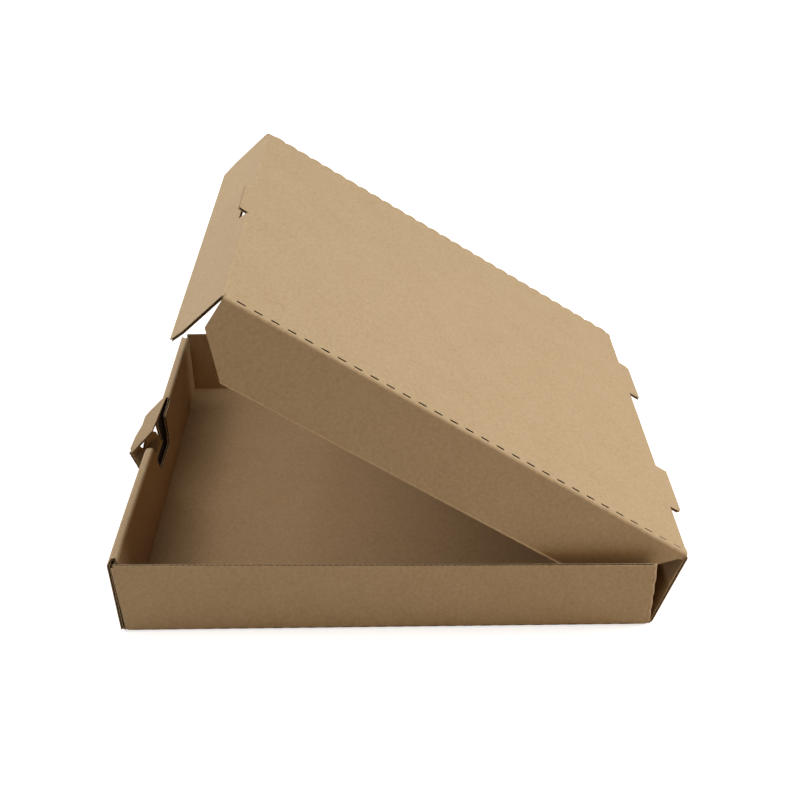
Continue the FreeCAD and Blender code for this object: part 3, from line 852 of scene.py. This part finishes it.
def kraft(name, light, dark, fleck, depth=1.0):
    """Kraft paper: cloud, mottle, fibres and flute lines over one brown."""
    g = Graph(bpy.data.materials.new(name))
    place = g.node("TexCoord", output="Object")
    sheet = g.node("UVMap", {"uv_map": "sheet"}, output="UV")
    cloud = g.node("TexNoise", {}, {"Vector": place, "Scale": 38.0, "Detail": 3.0, "Roughness": 0.55})
    mottle = g.node("TexNoise", {}, {"Vector": place, "Scale": 420.0, "Detail": 4.0, "Roughness": 0.7})
    stretch = g.node("Mapping", {"vector_type": "POINT"}, {"Vector": sheet, "Scale": (2600.0, 700.0, 1.0)})
    fibre = g.node("TexNoise", {}, {"Vector": stretch, "Scale": 1.0, "Detail": 3.0, "Roughness": 0.6,
                                    "Distortion": 0.6})
    specks = g.node("TexNoise", {}, {"Vector": place, "Scale": 900.0, "Detail": 1.0})
    speck = g.node("MapRange", {"interpolation_type": "SMOOTHSTEP"},
                   {"Value": specks, "From Min": 0.72, "From Max": 0.84})
    across = g.node("SeparateXYZ", {}, {"Vector": sheet}, "Y")
    wave = g.node("Math", {"operation": "SINE"}, {0: across * (2000 * math.pi / FLUTE)})
    tone = cloud * 0.3 + mottle * 1.3 + fibre * 0.9 - 0.75
    # a Mix node has sockets of the same name for numbers and colours: 0 is the share, 6 and 7 the colours
    brown = g.node("Mix", {"data_type": "RGBA"}, {0: tone, 6: linear(dark), 7: linear(light)}, 2)
    brown = g.node("Mix", {"data_type": "RGBA"}, {0: speck * 0.3, 6: brown, 7: linear(fleck)}, 2)
    grain = mottle * 0.5 + fibre * 0.5
    bump = g.node("Bump", {}, {"Strength": 0.25 * depth, "Distance": 0.00025, "Height": grain + wave * 0.12})
    shader = g.node("BsdfPrincipled", {}, {"Base Color": brown, "Roughness": mottle * 0.14 + 0.78,
                                           "Specular IOR Level": 0.25, "Normal": bump})
    g.node("OutputMaterial", {}, {"Surface": shader})
    return g.owner


# the slit paper is painted shade, and the inner liner paper is the liner darker, painted shade for the inside
# of the box
PAPERS = [kraft("kraft_liner", (205, 180, 143), (176, 148, 110), (120, 92, 62)),
          kraft("kraft_cut_edge", (210, 186, 148), (170, 142, 104), (130, 102, 72), 1.6),
          kraft("kraft_fluting", (146, 126, 100), (116, 97, 74), (90, 70, 50)),
          kraft("kraft_painted_shade", (56, 40, 27), (42, 30, 20), (36, 26, 18)),
          kraft("kraft_inner_shade", (186, 156, 117), (158, 127, 88), (108, 80, 52))]
for piece in PIECES:
    for material in PAPERS:
        piece.data.materials.append(material)

# %% [markdown]
# ## Studio
# The photograph is a cut-out on white, lit by broad soft lamps. The floor is pale, and
# lifted to white only where it is seen directly, in a mirror or through glass, so it
# still takes the shadow and throws no extra light on the box.

# %% Floor, world and lights
WHITE = (1.0, 1.0, 1.0, 1.0)


def seen_directly(g):
    """1 for a ray from the camera, mirrored or let through, and 0 for every other ray."""
    camera, glossy, through = (g.node("LightPath", output=f"Is {kind} Ray")
                               for kind in ("Camera", "Glossy", "Transmission"))
    return g.node("Math", {"operation": "MINIMUM"}, {0: camera + glossy + through, 1: 1.0})


def make_floor():
    """A wide level sheet under the box, its glow a little stronger towards the horizon."""
    mesh = bpy.data.meshes.new("studio_floor")
    reach, level = 4.0, -0.0003
    corners = [(x * reach, y * reach, level) for x, y in ((-1, -1), (1, -1), (1, 1), (-1, 1))]
    mesh.from_pydata(corners, [], [(0, 1, 2, 3)])
    floor = bpy.data.objects.new("studio_floor", mesh)
    bpy.context.scene.collection.objects.link(floor)
    g = Graph(bpy.data.materials.new("studio_floor"))
    diffuse = g.node("BsdfDiffuse", {}, {"Color": (0.78, 0.76, 0.74, 1)})
    place = g.node("TexCoord", output="Object")
    distance = g.node("VectorMath", {"operation": "LENGTH"}, {0: place}, "Value")
    rise = g.node("MapRange", {}, {"Value": distance, "From Min": 0.5, "From Max": 1.2,
                                   "To Min": 1.0, "To Max": 1.5})
    glow = g.node("Emission", {}, {"Color": rise, "Strength": 0.7})
    lifted = g.node("AddShader", {}, {0: diffuse, 1: glow})
    mixed = g.node("MixShader", {}, {0: seen_directly(g), 1: diffuse, 2: lifted})
    g.node("OutputMaterial", {}, {"Surface": mixed})
    mesh.materials.append(g.owner)


def make_world():
    """White where it is seen directly, and no light to anything else."""
    g = Graph(bpy.data.worlds.new("studio"))
    bpy.context.scene.world = g.owner
    unlit, white = (g.node("Background", {}, {"Color": WHITE, "Strength": v}) for v in (0.0, 1.0))
    mixed = g.node("MixShader", {}, {0: seen_directly(g), 1: unlit, 2: white})
    g.node("OutputWorld", {}, {"Surface": mixed})


def make_lamp(name, place, size, power, colour=(1, 1, 1)):
    """A square soft light that faces the box."""
    data = bpy.data.lights.new(name, "AREA")
    data.size, data.energy, data.color = size, power, colour
    lamp = bpy.data.objects.new(name, data)
    lamp.location = place
    lamp.rotation_euler = (Vector((0, 0, 0.05)) - Vector(place)).to_track_quat("-Z", "Y").to_euler()
    bpy.context.scene.collection.objects.link(lamp)


make_floor()
make_world()
make_lamp("behind_hinge", (0.0, 1.3, 1.0), 0.9, 19.4)
make_lamp("front_high", (0.0, -1.0, 1.5), 0.9, 8.0, (0.97, 0.97, 1.0))
make_lamp("front_far", (-0.6, -1.2, 1.0), 0.9, 12.0, (0.97, 0.97, 1.0))
make_lamp("above_front", (0.3, -0.3, 1.7), 0.8, 3.5)
make_lamp("beside_hinge", (1.25, 0.6, 0.35), 0.7, 2.1, (1.0, 0.60, 0.22))
